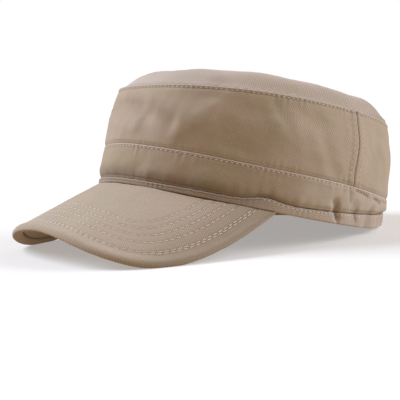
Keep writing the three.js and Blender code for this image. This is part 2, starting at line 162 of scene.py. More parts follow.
world = bpy.data.worlds.new("studio")
scene.world = world
world.use_nodes = True
world_tree = world.node_tree
world_tree.nodes.clear()
seen = add(world_tree, "ShaderNodeLightPath")
lit_world = add(world_tree, "ShaderNodeBackground", {"Color": linear("#ffdfbf"), "Strength": 0.31})
shown_world = add(world_tree, "ShaderNodeBackground", {"Color": linear("#ffffff"), "Strength": 1.0})
both_worlds = add(world_tree, "ShaderNodeMixShader", {
    0: seen.outputs["Is Camera Ray"], 1: lit_world.outputs[0], 2: shown_world.outputs[0]})
add(world_tree, "ShaderNodeOutputWorld", {0: both_worlds.outputs[0]})

# Each sun: degrees round the cap from the camera towards its right, degrees over the floor, its
# softness in degrees, its strength and its colour.
suns = (
    {"name": "key", "round": -103, "over": 39, "soft": 40, "strength": 4.5, "colour": "#d9e6ff"},
    {"name": "fill", "round": 92, "over": 18, "soft": 60, "strength": 4.1, "colour": "#e0eaff"},
)
for sun in suns:
    light = bpy.data.lights.new(sun["name"], "SUN")
    light.energy = sun["strength"]
    light.angle = math.radians(sun["soft"])
    light.color = linear(sun["colour"])[:3]
    lamp = bpy.data.objects.new(sun["name"], light)
    around, over = camera_azimuth + math.radians(sun["round"]), math.radians(sun["over"])
    away = Vector((
        math.sin(around) * math.cos(over), -math.cos(around) * math.cos(over), math.sin(over)))
    lamp.rotation_euler = (-away).to_track_quat("-Z", "Y").to_euler()
    scene.collection.objects.link(lamp)
print("suns:", [sun["name"] for sun in suns])

# %% [markdown]
# Three level ovals set the wall: one at the hem, one at the band's seam and one round the top.
# Each is a rounded oval given by its length, width and squareness, and each seam rises and falls
# a little on its way. Angles run round the cap from 0 at the front through 90 at the wearer's
# left to 180 at the back. These are the same few sizes that the solids were made from.
# %% Ovals and seams
hem_plan = {"length": 200, "width": 161.4, "roundness": 1.96, "back": 0}
band_plan = {"length": 198.4, "width": 164.6, "roundness": 1.96, "back": 0.8}
top_plan = {"length": 177.4, "width": 154.8, "roundness": 2.25, "back": -1.6}

# Heights at each 30 degrees from the front to the back.
seam_step = 30
hem_heights = (3.6, 1.8, -1.4, -3.5, -2.6, 1.7, 4.5)
band_heights = (27.4, 25.6, 22.5, 20.4, 18.1, 18.0, 22.0)
top_heights = (63.7, 64.1, 65.0, 65.4, 65.0, 64.1, 63.7)

# Height of the binding at each 60 degrees, and how much it rides up where the peak runs out.
binding_step = 60
binding_heights = (3.2, 4.2, 8.5, 8.5)
binding_hump = {"angle": 63.5, "width": 6.5, "height": 2.6}

mm_per_degree = 1.58
side_seam = 99.4


def wrapped(angle):
    """The same angle between -180 and 180."""
    return (angle + 180) % 360 - 180


def hill(value, middle, width):
    """1 in the middle, falling away softly on both sides."""
    return np.exp(-((value - middle) / width) ** 2)


def smoothstep(value, low, high):
    """0 up to low, 1 from high on, and a soft step between."""
    t = np.clip((value - low) / (high - low), 0, 1)
    return t * t * (3 - 2 * t)


def by_angle(values, step, angle):
    """A smooth curve through the values, the same on both sides of the cap."""
    last = len(values) - 1
    place = np.abs(wrapped(angle)) / step
    index = np.minimum(place.astype(int), last - 1)
    t = place - index
    mirrored = np.array([values[1], *values, values[last - 1]])
    a, b, c, d = (mirrored[index + i] for i in range(4))
    return b + 0.5 * t * (c - a + t * (2 * a - 5 * b + 4 * c - d + t * (3 * (b - c) + d - a)))


def plan_point(plan, angle):
    """A point of an oval, as x and y in mm."""
    c, s = np.cos(np.radians(angle)), np.sin(np.radians(angle))
    n = plan["roundness"]
    radius = (np.abs(c) ** n + np.abs(s) ** n) ** (-1 / n)
    return radius * s * plan["width"] / 2, -radius * c * plan["length"] / 2 + plan["back"]


def plan_normal(angle, step=0.5):
    """The level direction straight out of the wall."""
    ahead, behind = plan_point(hem_plan, angle + step), plan_point(hem_plan, angle - step)
    dx, dy = ahead[0] - behind[0], ahead[1] - behind[1]
    length = np.hypot(dx, dy)
    return dy / length, -dx / length


def binding_height(angle):
    """How far the binding reaches up the band, in mm."""
    hump = hill(np.abs(wrapped(angle)), binding_hump["angle"], binding_hump["width"])
    return by_angle(binding_heights, binding_step, angle) + binding_hump["height"] * hump


print("seam heights at the side, mm:", hem_heights[3], band_heights[3], top_heights[3])

# %% [markdown]
# Soft cloth holds its shape in long shallow folds. Each fold is a valley between two places on
# the wall, given by angle and height, with a width and a depth in mm; a negative depth stands
# out as a ridge. They follow the folds of the solids, but to come closer to the photograph two
# are moved by up to 7 mm and four have another width or depth. The elastic in the back of the
# band adds a row of upright gathers. Near a seam the doubled cloth lies smooth, so the folds fade
# there. Functions draw all of them, without a cloth simulation, so each stays where it is seen.
# %% Folds
wall_folds = np.array([
    # angle, height, to angle, to height, width, depth
    (-22, 54, 10, 45, 7, 2.0),
    (-14, 43, 6, 38, 7, -1.3),
    (42, 62, 33, 42, 5, -1.0),
    (28, 41, 27, 33, 5, -0.9),
    (56, 55, 48, 38, 9, 0.9),
    (78, 59, 86, 44, 9, 0.6),
    (118, 56, 108, 36, 8, 1.5),
    (150, 33, 140, 53, 9, 1.7),
    (-170, 57, 176, 36, 10, 1.8),
    (-139, 54, -146, 31, 8, 1.6),
    (-112, 37, -106, 56, 8, 1.5),
    (-72, 60, -64, 40, 8, 1.7),
    (-45, 42, -38, 60, 7, -1.2),
    (89, 17, 90, 12, 6, 1.2),
    (90, 9, 93, 0, 2.1, 2.0),
    (101, 13, 102, 6, 5, 1.6),
    (104, 6, 104, 2, 2.6, -0.9),
    (100, 17, 107, 15, 2.6, 1.0),
    (114, 15, 120, 13, 2.6, 1.0),
    (128, 13, 130, 2, 8, 1.2),
    (-128, 13, -131, 2, 8, 1.2),
    (-88, 16, -90, 10, 6, 1.2),
    (-91, 9, -94, 0, 3, 2.4),
    (-104, 12, -101, 5, 5, 1.6),
    (12, 12, 16, 19, 5, 0.8),
    (34, 11, 31, 19, 6, 0.9),
    (62, 9, 66, 16, 7, 0.8),
    (-36, 11, -30, 18, 6, 0.9),
    (-64, 8, -69, 16, 7, 0.8),
])
gathers = {
    "from": 112, "to": 250, "step": 11.5, "bottom": 1, "top": 12, "top_sway": 2,
    "width": 4.2, "depth": 1.5, "unevenness": 0.4, "turn_rate": 3.1,
}
seam_half_lap = 2.8
seam_fade = 7.5


def gather_folds():
    """The gathers as folds: deep and shallow ones by turns, each leaning a little."""
    angle = np.arange(gathers["from"], gathers["to"] + 0.01, gathers["step"])
    turn = np.sin(angle * gathers["turn_rate"])
    hem = by_angle(hem_heights, seam_step, angle)
    top = hem + gathers["top"] + gathers["top_sway"] * turn
    width = np.full_like(angle, gathers["width"])
    depth = gathers["depth"] * (1 + gathers["unevenness"] * turn)
    return np.stack([angle + turn, top, angle - turn, hem + gathers["bottom"], width, depth], -1)


all_folds = np.concatenate([wall_folds, gather_folds()])


def slack(angle, height):
    """0 where a seam holds the cloth smooth, 1 where it is free to fold."""
    free = 1.0
    for heights in (band_heights, top_heights):
        away = np.abs(height + seam_half_lap - by_angle(heights, seam_step, angle))
        free = np.minimum(free, smoothstep(away, seam_half_lap, seam_half_lap + seam_fade))
    return free


# Small sharp creases, where the elastic ends, where the seam pinches the cloth and on the binding.
creases = np.array([
    # angle, height, to angle, to height, width, depth
    (91.6, 8, 93.4, -3, 0.9, 0.8),
    (99.5, 17.6, 107, 16.0, 1.0, 0.9),
    (113, 15.3, 120, 13.2, 1.0, 0.9),
    (96, 18, 97, 11, 1.2, 0.5),
    (102.6, 7, 102.4, 1, 1.2, 0.4),
    (-92.4, 8, -94.2, -3, 1.5, 1.3),
    (-108, 16.2, -114, 15.2, 1.0, 0.8),
])
# Soft folds of the crown's front and side that are too shallow for the solids.
soft_folds = np.array([
    # angle, height, to angle, to height, width, depth
    (-36, 42, -27, 50, 4, 0.9),
    (15, 46, 24, 41, 5, 1.0),
    (43, 60, 36, 41, 3.2, -0.5),
    (61.5, 60, 62.5, 54, 2.5, 0.4),
    (62, 49, 67, 41, 4, -0.4),
])

# Painted shading on the crown's cloth: painted shade where the depth is positive, painted light
# where it is negative.
crown_shades = np.array([
    # angle, height, to angle, to height, width, depth
    (-34, 46, -14, 52, 4, 0.7),
    (-6, 53, 4, 51, 5.5, 0.9),
    (13, 49.5, 23, 45, 5, 0.9),
    (27, 60, 34, 60, 4, 0.7),
    (31, 44, 35, 44, 4, 0.4),
    (28, 34, 29, 30, 5, 0.4),
    (61.5, 60, 61.5, 55, 2.2, 0.5),
    (78, 33, 80, 33, 4, 0.3),
    (43.5, 60, 40.5, 46, 2.4, -0.9),
    (40, 45, 36, 41, 3, -0.5),
    (28, 37, 23, 26, 1.8, -0.4),
    (-25, 37, 14, 35, 7, -0.4),
    (62, 49, 65, 44, 5, -0.35),
])


def sum_folds(folds, angle, height):
    """The depth of a table's folds at each place, in mm."""
    depth = 0.0
    for start, low, end, high, width, deep in folds:
        x, y = wrapped(angle - start) * mm_per_degree, height - low
        dx, dy = wrapped(end - start) * mm_per_degree, high - low
        share = np.clip((x * dx + y * dy) / (dx * dx + dy * dy), 0, 1)
        depth = depth + deep * np.exp(-((x - share * dx) ** 2 + (y - share * dy) ** 2) / width ** 2)
    return depth


def fold_depth(angle, height):
    """How far folds and creases push the cloth in, in mm."""
    soft = sum_folds(all_folds, angle, height) * slack(angle, height)
    return soft + sum_folds(soft_folds, angle, height) + sum_folds(creases, angle, height)


print("folds:", len(all_folds), "soft:", len(soft_folds), "creases:", len(creases))

# %% [markdown]
# Cloth is never quite even. Two small tools give it life: ripples run along a seam, where each
# stitch draws the cloth in, and crumples are soft swellings in every direction. Both add up a few
# sine waves with seeded directions and starts, so they are smooth, meet round the back of the
# cap, and come out the same each time.
# %% Ripples and crumples
round_the_cap = 569.0  # mm round the hem

# Swellings: their length and height in mm, and a step of the seed.
wall_swellings = ((30, 0.3, 0), (12, 0.15, 1), (5, 0.045, 4))
dome_swellings = ((34, 0.22, 0), (12, 0.1, 1))
peak_swellings = ((32, 0.22, 0), (8, 0.05, 1))


def ripple(angle, length, seed, waves=5):
    """Uneven waves of about that length in mm along the wall, from -1 to 1 or so."""
    draw = np.random.default_rng(seed)
    total = 0.0
    for _ in range(waves):
        count = round(round_the_cap / (length * draw.uniform(0.75, 1.4)))
        total = total + np.sin(np.radians(angle) * count + draw.uniform(0, math.tau))
    return total / math.sqrt(waves)


def pucker_wave(angle, length, seed):
    """How stitches ruffle the cloth: uneven waves that come and go along the seam."""
    return ripple(angle, length, seed) * np.clip(0.6 + 0.6 * ripple(angle, 34, seed + 5), 0, 1.3)


def crumple(points, length, seed, waves=18):
    """Soft swellings of about that length in mm, in all directions, from -1 to 1 or so."""
    draw = np.random.default_rng(seed)
    total = 0.0
    for _ in range(waves):
        direction = draw.normal(size=3)
        direction *= math.tau / (length * draw.uniform(0.7, 1.5)) / np.linalg.norm(direction)
        total = total + np.sin(points @ direction + draw.uniform(0, math.tau))
    return total / math.sqrt(waves)


def swell(points, swellings, seed):
    """The height of a table's swellings at each point, in mm."""
    return sum(height * crumple(points, length, seed + step) for length, height, step in swellings)


print("swellings of the walls, length and height in mm:", [row[:2] for row in wall_swellings])

# %% [markdown]
# The cap is worked out level, and then set down the way it rests by itself: tipped back until the
# hem's back and the two low sides of the peak touch the table. Cloth that would go below the
# table is pressed flat on it.
# %% Setting the cap down
rest_pitch = 12.4
carried_up = 15.556   # height of the level cap's origin over the table
carried_back = 24.185  # how far that origin lies behind the middle of the cap


def set_down(level_points):
    """Points of the level cap, in mm, tipped and moved to where the cap rests."""
    turn = math.radians(-rest_pitch)
    x, y, z = level_points.T
    tipped_y = y * math.cos(turn) - z * math.sin(turn) + carried_back
    tipped_z = y * math.sin(turn) + z * math.cos(turn) + carried_up
    return np.stack([x, tipped_y, np.maximum(tipped_z, 0)], -1)


hem_low, hem_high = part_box("hem")
print("hem's box, mm:", [round(v * 1000, 2) for v in (*hem_low, *hem_high)])

# %% [markdown]
# Every piece of cloth here is a wall with two faces, folded over at its edges. Its section is a
# closed line: up the outside, round the fold and down the inside. So a piece is one grid, made by
# Blender and bent into shape: one way runs along the cloth, the other round its section. Where
# the grid meets itself its doubles are merged, open ends are filled and the faces are turned
# outwards. The grid's own places give the UV map in metres of cloth, so the twill follows it.
# %% A piece of cloth
def table(columns, rows):
    """Rows of numbers, with the name of its column for each number."""
    return [dict(zip(columns.split(), row)) for row in rows]


def section(rows, v, columns):
    """Reads columns of a section's table at v from 0 to 1, smoothly and without overshoot."""
    ends = np.cumsum([0] + [row["steps"] for row in rows[:-1]])
    t = v * ends[-1]
    index = np.clip(np.searchsorted(ends, t, side="right") - 1, 0, len(rows) - 2)
    width = np.diff(ends)
    share = (t - ends[index]) / width[index]
    found = []
    for column in columns.split():
        value = np.array([row[column] for row in rows], float)
        slope = np.diff(value) / width
        before, after = slope[:-1], slope[1:]
        same_way = before * after > 0
        steady = np.where(same_way, 2 * before * after / np.where(same_way, before + after, 1), 0)
        tangent = np.concatenate([[slope[0]], steady, [slope[-1]]])
        a, b = value[index], value[index + 1]
        m, n = tangent[index] * width[index], tangent[index + 1] * width[index]
        found.append(
            a + share * m + share ** 2 * (3 * (b - a) - 2 * m - n)
            + share ** 3 * (m + n - 2 * (b - a))
        )
    return found


def closed(rows):
    """A section that comes back to its first row."""
    return [*rows, rows[0]]


def grid_rows(rows):
    """How many steps of the grid a section has."""
    return sum(row["steps"] for row in rows[:-1])


def row_place(rows, number):
    """Where a row of the table lies along the section, from 0 to 1."""
    return sum(row["steps"] for row in rows[:number]) / grid_rows(rows)


def make_cloth(name, columns, rows, place):
    """Bends a grid into a piece of cloth. place(u, v) gives points, cloth places, and pale edges
    with painted shading.
    """
    shape = bmesh.new()
    bmesh.ops.create_grid(shape, x_segments=columns, y_segments=rows, size=0.5)
    mesh = bpy.data.meshes.new(name)
    shape.to_mesh(mesh)
    flat = np.empty(3 * len(mesh.vertices))
    mesh.vertices.foreach_get("co", flat)
    u, v, _ = flat.reshape(-1, 3).T + 0.5
    points, cloth, wear = place(u, v)
    mesh.vertices.foreach_set("co", (points * MM).ravel())
    corners = np.empty(len(mesh.loops), int)
    mesh.loops.foreach_get("vertex_index", corners)
    mesh.uv_layers.new(name="UVMap").data.foreach_set("uv", (cloth[corners] * MM).ravel())
    mesh.attributes.new("wear", "FLOAT", "POINT").data.foreach_set("value", wear)
    shape.clear()
    shape.from_mesh(mesh)
    bmesh.ops.remove_doubles(shape, verts=shape.verts, dist=1e-6)
    bmesh.ops.dissolve_degenerate(shape, edges=shape.edges, dist=1e-7)
    open_edges = [edge for edge in shape.edges if edge.is_boundary]
    if open_edges:
        ends = bmesh.ops.holes_fill(shape, edges=open_edges, sides=0)["faces"]
        bmesh.ops.triangulate(shape, faces=ends)
    bmesh.ops.recalc_face_normals(shape, faces=shape.faces)
    leaks = sum(not edge.is_manifold for edge in shape.edges)
    shape.to_mesh(mesh)
    shape.free()
    mesh.shade_smooth()
    piece = bpy.data.objects.new(name, mesh)
    scene.collection.objects.link(piece)
    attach(piece, "root")
    print(name, "faces:", len(mesh.polygons), "open edges:", leaks)
    return piece


# %% [markdown]
# A wall piece hangs between two seams. Its table has a row for each line along the cloth: the
# share of the way from the lower seam to the upper one, a rise in mm, and how far it stands out
# from the plan. Then come how freely the cloth crumples there, how much the stitches ruffle it,
# its tone, which is paler along a folded edge above 0 and darker with painted shade in a tuck
# below it, and the steps of the grid to the next row. The inner side repeats the outer one a
# cloth's thickness further in.
# %% Wall pieces
hem_seam = {"plan": hem_plan, "heights": hem_heights}
band_seam = {"plan": band_plan, "heights": band_heights}
top_seam = {"plan": top_plan, "heights": top_heights}
long_fold = {"length": 30, "height": 0.14}
fold_lean = 0.45      # mm sideways for each mm up
stitch_draw = 0.15    # mm by which a row of stitches ruffles the cloth
stitch_wave = 4.4     # mm between two ruffles


def wall_base(low, high, angle, share, rise):
    """A point on the straight line between two seams, before the cloth stands out from it."""
    (x0, y0), (x1, y1) = plan_point(low["plan"], angle), plan_point(high["plan"], angle)
    z0 = by_angle(low["heights"], seam_step, angle)
    z1 = by_angle(high["heights"], seam_step, angle)
    mix = lambda a, b: a + (b - a) * share
    return np.stack([mix(x0, x1), mix(y0, y1), mix(z0, z1) + rise], -1)


def pushed_out(points, angle, out):
    """Points moved straight out of the wall, level."""
    nx, ny = plan_normal(angle)
    return points + np.stack([nx * out, ny * out, np.zeros_like(out)], -1)


def wall_point(low, high, angle, share, rise, out):
    """A point of a wall piece, with its folds."""
    points = wall_base(low, high, angle, share, rise)
    return pushed_out(points, angle, out - fold_depth(angle, points[:, 2]))


def crumpled(points, angle, loose, seed):
    """Adds the unevenness of loose cloth: soft swellings and long folds that lean a little."""
    leaning = angle - fold_lean * points[:, 2] / mm_per_degree
    uneven = 0.6 + 0.4 * crumple(points, 24, seed + 3)
    folds = ripple(leaning, long_fold["length"], seed + 2) * uneven
    soft = swell(points, wall_swellings, seed) + long_fold["height"] * folds
    return pushed_out(points, angle, soft * loose)


def wall_cloth(angle, points):
    """Places on the cloth, in mm along the wall and up it."""
    return np.stack([angle * mm_per_degree, points[:, 2]], -1)


print("band at the front, mm:", round(band_heights[0] - hem_heights[0], 1))


# %% [markdown]
# The crown's wall is two panels that meet in an upright seam behind each side. The cloth comes
# out from under the band's folded edge, swells gently, and at the top is folded in, lapped over
# the crown's top and stitched down. The stitches draw a shallow groove and pucker the cloth on
# both sides of it. At the upright seams the turned edges make a raised strip 6 mm wide.
# %% Crown panels
panel_rows = closed(table("share rise out loose pucker wear steps", [
    (0, -4, -1.75, 0, 0, 0, 2),
    (0, -0.5, -1.35, 0, 0, 0, 2),
    (0, 0.12, -0.2, 0.1, 0.3, 0, 3),
    (0, 1.8, 0.3, 0.4, 0.7, 0, 6),
    (0.18, 0, 1.35, 1, 0, 0, 7),
    (0.36, 0, 2.2, 1, 0, 0, 7),
    (0.54, 0, 2.6, 1, 0, 0, 7),
    (0.72, 0, 1.9, 1, 0, 0, 6),
    (0.86, 0, 1.05, 0.7, 0.1, 0, 4),
    (1, -2.7, 0.6, 0.2, 1, 0, 3),
    (1, -1.5, 0.25, 0, 0.5, -0.4, 3),
    (1, -0.85, 0.5, 0, 1, 0.4, 3),
    (1, -0.25, 0.3, 0, 0.7, 1, 2),
    (1, 0, -0.15, 0, 0.3, 0.6, 2),
    (1, -0.3, -0.72, 0, 0, -0.3, 2),
    (1, -3, -0.8, 0, 0, 0, 3),
    (0.72, 0, 0.8, 1, 0, 0, 5),
    (0.36, 0, 1.1, 1, 0, 0, 5),
    (0, 2.4, -0.9, 0.4, 0, 0, 3),
    (0, -4, -2.85, 0, 0, 0, 1),
]))
panel_groove = 10   # the row of the table that the stitches lie in
panel_step = 0.5    # degrees between columns
strip_width = 5.8   # mm from the upright seam to the end of its raised strip
strip_stitches = 3.9  # mm from that seam to the stitches beside it
strip_lift = 0.5
strip_edge = 1.6      # mm in which the strip runs out
lean_reach = 12       # mm beside an upright seam that follow its lean

def seam_lean(share):
    """How many degrees the upright seam lies forward of its place, for a share of its height."""
    return 2.0 * (1 - smoothstep(share, 0, 0.9)) + 0.2 * np.sin(share * 9)


def crown_panel_place(start, end, seed):
    """How a crown panel between two upright seams is bent into shape."""
    def place(u, v):
        angle = start + (end - start) * u
        share, rise, out, loose, pucker, wear = section(
            panel_rows, v, "share rise out loose pucker wear")
        from_end = np.minimum(angle - start, end - angle) * mm_per_degree
        angle = angle - seam_lean(share) * hill(from_end, 0, lean_reach) * np.sign(wrapped(angle))
        strip = smoothstep(from_end, 0, 0.9)
        strip = strip * (1 - smoothstep(from_end, strip_width - strip_edge, strip_width))
        roll = 0.06 * (1 - smoothstep(from_end, 0, 0.5))
        groove = 0.3 * hill(from_end, strip_stitches, 0.55)
        shows = smoothstep(out, -0.6, 0.2)
        out = out + shows * (strip_lift * strip - roll - groove)
        out = out + stitch_draw * pucker * pucker_wave(angle, stitch_wave, seed)
        beside = hill(from_end, strip_width, 2.4) * shows
        points = wall_point(band_seam, top_seam, angle, share, rise, out)
        points = pushed_out(points, angle, 0.12 * beside * np.sin(points[:, 2] * math.tau / 3.7))
        points = crumpled(points, angle, loose * smoothstep(from_end, 4, lean_reach), seed + 1)
        # Painted shade beside the upright seam's stitches and in the creases, and painted shading
        # from the crown's table: shade where its depth is positive, light where negative.
        dark = 0.2 * shows * hill(from_end, strip_stitches, 0.5)
        dark = dark + shows * 0.9 * sum_folds(creases, angle, points[:, 2])
        dark = dark + shows * 0.3 * sum_folds(crown_shades, angle, points[:, 2])
        return set_down(points), wall_cloth(angle, points), wear - dark
    return place


seam_gap = 0.03  # degrees
side_place = crown_panel_place(-side_seam + seam_gap, side_seam - seam_gap, 11)
back_place = crown_panel_place(side_seam + seam_gap, 360 - side_seam - seam_gap, 21)
side_columns = round((2 * side_seam) / panel_step)
back_columns = round((360 - 2 * side_seam) / panel_step)
side_panel = make_cloth("side_panel_cloth", side_columns, grid_rows(panel_rows), side_place)
back_panel = make_cloth("back_panel_cloth", back_columns, grid_rows(panel_rows), back_place)
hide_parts("side_panel")
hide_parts("back_panel")

# %% [markdown]
# The top is a flat oval whose seam allowance is pressed upwards inside, so its edge stands up
# steeply before it turns flat. That rise is one power curve of the way out from the middle. The
# grid runs round the oval and from the outer middle over the edge, down the tucked flange and
# back to the inner middle, and both middles close to a point. A few broad hollows keep the flat
# part soft.
# %% Crown top
dome_height = 13.9
dome_flatness = 12
dome_softness = 2.1
top_hollows = (
    {"x": 6, "y": -46, "width": 22, "depth": 1.6},
    {"x": 36, "y": 22, "width": 16, "depth": 1.2},
    {"x": -34, "y": -8, "width": 20, "depth": 1.5},
    {"x": -12, "y": 44, "width": 18, "depth": 1.3},
    {"x": 56, "y": 50, "width": 20, "depth": -2.4},
    {"x": -56, "y": 50, "width": 20, "depth": -1.8},
)
# flange is 1 on the part tucked behind the panels, where rise and out place the cloth.
top_rows = table("share rise out flange depth loose steps", [
    (0.0005, 0, -1, 0, 0, 1, 9),
    (0.5, 0, -1, 0, 0, 1, 9),
    (0.76, 0, -1, 0, 0, 0.9, 9),
    (0.9, 0, -1, 0, 0, 0.6, 9),
    (0.987, 0, -1, 0, 0, 0, 2),
    (0.987, -0.8, -1.05, 1, 0, 0, 2),
    (0.987, -5, -1.5, 1, 0, 0, 1),
    (0.987, -5, -2.5, 1, 0, 0, 2),
    (0.987, -0.5, -2.5, 1, 1.1, 0, 2),
    (0.9, 0, -2.5, 0, 1.1, 0.6, 6),
    (0.6, 0, -2.5, 0, 1.1, 1, 6),
    (0.0005, 0, -2.5, 0, 1.1, 1, 1),
])


def dome_rise(share):
    """How high the top stands over its seam, for a share of the way out from the middle."""
    return dome_height * np.clip(1 - share ** dome_flatness, 0, None) ** dome_softness


def dome_point(angle, share, depth, step=0.01):
    """A point of the top, some mm below its outer face."""
    x, y = plan_point(top_plan, angle)
    y = y - top_plan["back"]
    seam = by_angle(top_heights, seam_step, angle)
    radius = np.hypot(x, y)
    slope = (dome_rise(share + step) - dome_rise(share - step)) / (2 * step * radius)
    steep = np.sqrt(1 + slope ** 2)
    middle = top_heights[3]
    z = middle + (seam - middle) * share ** 2 + dome_rise(share)
    px, py = x * share, y * share + top_plan["back"]
    for hollow in top_hollows:
        away = ((px - hollow["x"]) ** 2 + (py - hollow["y"]) ** 2) / hollow["width"] ** 2
        z = z - hollow["depth"] * np.exp(-away)
    normal = np.stack([-slope * x / radius, -slope * y / radius, np.ones_like(x)], -1)
    normal = normal / steep[:, None]
    return np.stack([px, py, z], -1) - normal * depth[:, None], normal


def crown_top_place(u, v):
    """How the top is bent into shape, with painted shade at the seam and a painted highlight in
    front.
    """
    angle = 360 * u
    share, rise, out, flange, depth, loose = section(
        top_rows, v, "share rise out flange depth loose")
    dome, normal = dome_point(angle, share, depth)
    tucked = wall_point(band_seam, top_seam, angle, np.ones_like(share), rise, out)
    near_seam = hill(share, 1, 0.045) * (1 - flange)
    fine = swell(dome, dome_swellings, 31) * loose + 0.14 * near_seam * ripple(angle, 5, 33)
    dome = dome + normal * fine[:, None]
    points = dome + (tucked - dome) * flange[:, None]
    cloth = np.stack([dome[:, 0], dome[:, 1]], -1)
    # Painted shade along the seam, strongest at the front left, a small painted dark spot, and a
    # painted highlight on the top's front.
    seam_painted_shade = 0.15 + 0.5 * hill(wrapped(angle - 30), 0, 20)
    painted_dark_spot = 0.3 * hill(wrapped(angle - 37), 0, 5) * hill(share, 0.93, 0.035)
    dark = (seam_painted_shade * smoothstep(share, 0.965, 0.987) + painted_dark_spot) * (depth < 0.5)
    paler_edges_and_painted_light = 0.9 * hill(wrapped(angle + 12), 0, 30) * smoothstep(share, 0.8, 0.93)
    return set_down(points), cloth, paler_edges_and_painted_light * (1 - smoothstep(share, 0.95, 0.98)) - dark


top_columns = 640
crown_top = make_cloth("crown_top_cloth", top_columns, grid_rows(top_rows), crown_top_place)
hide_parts("crown_top")

# %% [markdown]
# The band is a strip of cloth laid over the lower edge of the crown. Its top edge is folded in
# and stitched down, and its lower edge goes into the binding. Above the binding the cloth swells
# out in short upright dimples, because the stitching draws it in. At the back the elastic
# gathers it, which the folds already show. Its rows are measured from the top of the binding.
# %% Band
band_rows = closed(table("share rise out inside loose pucker wear steps", [
    (0, 1.4, -1.45, 1, 0, 0, 0, 2),
    (0, -0.2, -1.4, 0, 0, 0, -0.3, 2),
    (0, 0.7, -0.5, 0, 0.2, 0.3, -0.3, 3),
    (0, 2.0, 0.4, 0, 0.5, 0.4, 0, 5),
    (0.3, 0, 1.2, 0, 1, 0.1, 0, 4),
    (0.5, 0, 1.1, 0, 1, 0, 0, 4),
    (0.7, 0, 0.8, 0, 0.7, 0.4, 0, 4),
    (1, -2.6, 0.6, 0, 0.2, 1, -0.1, 2),
    (1, -1.5, 0.25, 0, 0, 0.5, -0.4, 3),
    (1, -0.85, 0.5, 0, 0, 1, 0.4, 3),
    (1, -0.25, 0.35, 0, 0, 0.7, 1, 2),
    (1, 0, -0.1, 0, 0, 0.3, 0.6, 2),
    (1, -0.3, -0.65, 0, 0, 0, -0.4, 2),
    (1, -2.6, -0.75, 0, 0, 0, 0, 3),
    (0.5, 0, 0, 0, 1, 0, 0, 4),
    (0, 2.0, -0.8, 0, 0.5, 0, 0, 3),
    (0, 1.4, -2.5, 1, 0, 0, 0, 1),
]))
band_groove = 8
band_columns = 720
over_peak = (35, 75)      # degrees from the front where the part drawn in over the peak ends
flush_behind = (72, 80)   # and where the band comes to lie flush with the binding

def band_place(u, v):
    """How the band is bent into shape, with painted shade just over the peak and painted light at
    the back.
    """
    angle = 360 * u - 180
    share, rise, out, inside, loose, pucker, wear = section(
        band_rows, v, "share rise out inside loose pucker wear")
    binding_top = binding_height(angle)
    cover = (1 - inside) * (1 - share) * binding_top
    height = by_angle(band_heights, seam_step, angle) - by_angle(hem_heights, seam_step, angle)
    over_hem = (height - binding_top) * share + rise
    shows = smoothstep(out, -0.9, 0.2) * (1 - inside)
    around = np.abs(wrapped(angle))
    front = 1 - smoothstep(around, *over_peak)
    dimple = hill(over_hem, 3, 3.5) * shows
    out = out - 0.8 * front * hill(over_hem, 2, 3) * shows
    out = out + stitch_draw * pucker * pucker_wave(angle, stitch_wave, 41)
    out = out + (0.2 - 0.1 * front) * dimple * ripple(angle, 8.5, 42)
    flush = smoothstep(around, *flush_behind)
    rise = rise - 0.45 * flush * (1 - share) * shows * hill(rise, 0.7, 0.8)
    out = out + 0.75 * flush * hill(over_hem, 0.5, 1.1) * shows
    points = wall_point(hem_seam, band_seam, angle, share, rise + cover, out)
    points = crumpled(points, angle, loose, 43)
    # Painted shade over the peak, in a line above the binding's hump and in the creases; painted
    # light at the back, where the band lies flush.
    wear = wear - shows * 0.75 * front * hill(over_hem, 0, 6.5)
    wear = wear - shows * hill(around, 65, 7) * hill(over_hem, 0, 1.4)
    wear = wear - shows * (0.7 * sum_folds(creases, angle, points[:, 2]) - 0.5 * flush)
    return set_down(points), wall_cloth(angle, points), wear


band = make_cloth("band_cloth", band_columns, grid_rows(band_rows), band_place)
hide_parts("band")

# %% [markdown]
# The binding is a folded strip that wraps the band's lower edge: an outer leg, a foot and an
# inner leg. It is low over the peak and deep over the elastic at the back, and it rides up in a
# small hump where the peak runs out under it.
# %% Hem binding
# Here share is a share of the binding's height.
binding_rows = closed(table("share rise out pucker wear steps", [
    (0, 0.1, -0.9, 0, 0.2, 2),
    (0, 0.2, -0.25, 0.3, 0.7, 2),
    (0, 0.8, 0.15, 0.6, 0.4, 3),
    (0.5, 0, 0.3, 0.8, 0, 4),
    (1, -1.7, 0.22, 1, 0, 2),
    (1, -1.25, 0.05, 0.5, -0.4, 2),
    (1, -0.7, 0.25, 0.8, 0.2, 2),
    (1, -0.15, 0.05, 0.5, 0.3, 2),
    (1, 0, -0.4, 0.2, 0, 2),
    (1, -0.3, -1.0, 0, -0.4, 2),
    (0, 1.1, -1.1, 0, 0, 3),
    (0, 1.1, -2.8, 0, 0, 2),
    (1, -0.6, -2.8, 0, 0, 2),
    (1, -0.4, -3.35, 0, 0.3, 2),
    (1, -0.8, -3.9, 0, 0, 3),
    (0, 0.6, -3.9, 0, 0, 2),
    (0, 0.05, -3.3, 0, 0.2, 2),
]))
binding_groove = 5


def binding_place(u, v):
    """How the binding is bent into shape."""
    angle = 360 * u - 180
    share, rise, out, pucker, wear = section(binding_rows, v, "share rise out pucker wear")
    rise = rise + share * binding_height(angle) + 0.12 * share * ripple(angle, 7, 51)
    out = out + 0.14 * pucker * pucker_wave(angle, 3.2, 52)
    points = wall_point(hem_seam, band_seam, angle, np.zeros_like(share), rise, out)
    # Painted shade in the creases; the binding is also darker over the peak at the front.
    front = 1 - smoothstep(np.abs(wrapped(angle)), 55, 75)
    wear = wear - 0.7 * (out > -0.6) * sum_folds(creases, angle, points[:, 2]) - 0.45 * front
    return set_down(points), wall_cloth(angle, points), wear


binding = make_cloth("hem_binding", band_columns, grid_rows(binding_rows), binding_place)
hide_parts("hem")

